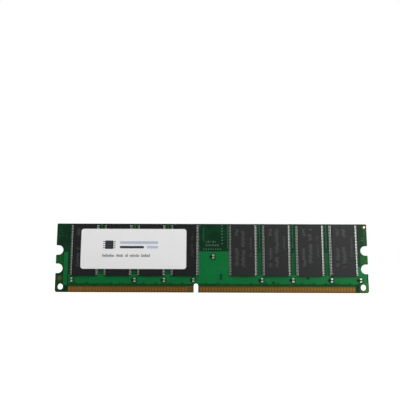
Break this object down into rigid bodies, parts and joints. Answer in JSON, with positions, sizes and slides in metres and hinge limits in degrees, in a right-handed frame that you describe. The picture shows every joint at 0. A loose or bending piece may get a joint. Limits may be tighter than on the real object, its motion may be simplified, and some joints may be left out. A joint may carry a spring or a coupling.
{
  "type": "memory module",
  "caption": "Double-sided computer memory module: notched circuit board with gold edge contacts, moulded memory packages with gull-wing leads, small parts and a blank-face label.",
  "frame": {"origin": "middle of the contact edge, on the board's mid-plane", "axes": "+X along the board, +Z from the contact edge to the top edge, the labelled face towards -Y"},
  "size_m": [0.1334, 0.0035, 0.0292],
  "materials": {
    "laminate": "glass-epoxy laminate, cut edges",
    "inner_copper": "etched copper sheet",
    "solder_mask": "green solder mask over copper, satin gloss",
    "gold_contact": "hard gold plating, fine wipe marks",
    "mould_compound": "moulded black epoxy, fine grain, laser marked",
    "tinned_lead": "matt tin plating",
    "silicon": "polished silicon",
    "lead_frame": "bare copper alloy",
    "ceramic": "fired ceramic, tan",
    "resistor_glass": "black overglaze",
    "label_paper": "coated label stock",
    "label_ink": "printed ink, satin",
    "board_ink": "screen-printed board marking, off-white",
    "solder": "reflowed solder, satin"
  },
  "bodies": {
    "root": {"laminate_core": "laminate", "laminate_front": "laminate", "laminate_rear": "laminate", "ground_plane": "inner_copper", "power_plane": "inner_copper", "solder_mask_front": "solder_mask", "solder_mask_rear": "solder_mask", "contacts_front": "gold_contact", "contacts_rear": "gold_contact", "fiducials_front": "gold_contact", "fiducials_rear": "gold_contact", "memory_case_front_1": "mould_compound", "memory_case_front_2": "mould_compound", "memory_case_front_3": "mould_compound", "memory_case_front_4": "mould_compound", "memory_case_front_5": "mould_compound", "memory_case_front_6": "mould_compound", "memory_case_front_7": "mould_compound", "memory_case_front_8": "mould_compound", "memory_case_rear_1": "mould_compound", "memory_case_rear_2": "mould_compound", "memory_case_rear_3": "mould_compound", "memory_case_rear_4": "mould_compound", "memory_case_rear_5": "mould_compound", "memory_case_rear_6": "mould_compound", "memory_case_rear_7": "mould_compound", "memory_case_rear_8": "mould_compound", "memory_leads_front_1": "tinned_lead", "memory_leads_front_2": "tinned_lead", "memory_leads_front_3": "tinned_lead", "memory_leads_front_4": "tinned_lead", "memory_leads_front_5": "tinned_lead", "memory_leads_front_6": "tinned_lead", "memory_leads_front_7": "tinned_lead", "memory_leads_front_8": "tinned_lead", "memory_leads_rear_1": "tinned_lead", "memory_leads_rear_2": "tinned_lead", "memory_leads_rear_3": "tinned_lead", "memory_leads_rear_4": "tinned_lead", "memory_leads_rear_5": "tinned_lead", "memory_leads_rear_6": "tinned_lead", "memory_leads_rear_7": "tinned_lead", "memory_leads_rear_8": "tinned_lead", "memory_dies_front": "silicon", "memory_dies_rear": "silicon", "eeprom_die": "silicon", "die_paddles_front": "lead_frame", "die_paddles_rear": "lead_frame", "eeprom_paddle": "lead_frame", "eeprom_case": "mould_compound", "eeprom_leads": "tinned_lead", "capacitor_bodies_front": "ceramic", "capacitor_ends_front": "tinned_lead", "capacitor_bodies_rear": "ceramic", "capacitor_ends_rear": "tinned_lead", "resistor_array_bodies": "resistor_glass", "resistor_array_ends": "tinned_lead", "label": "label_paper"}
  },
  "joints": []
}
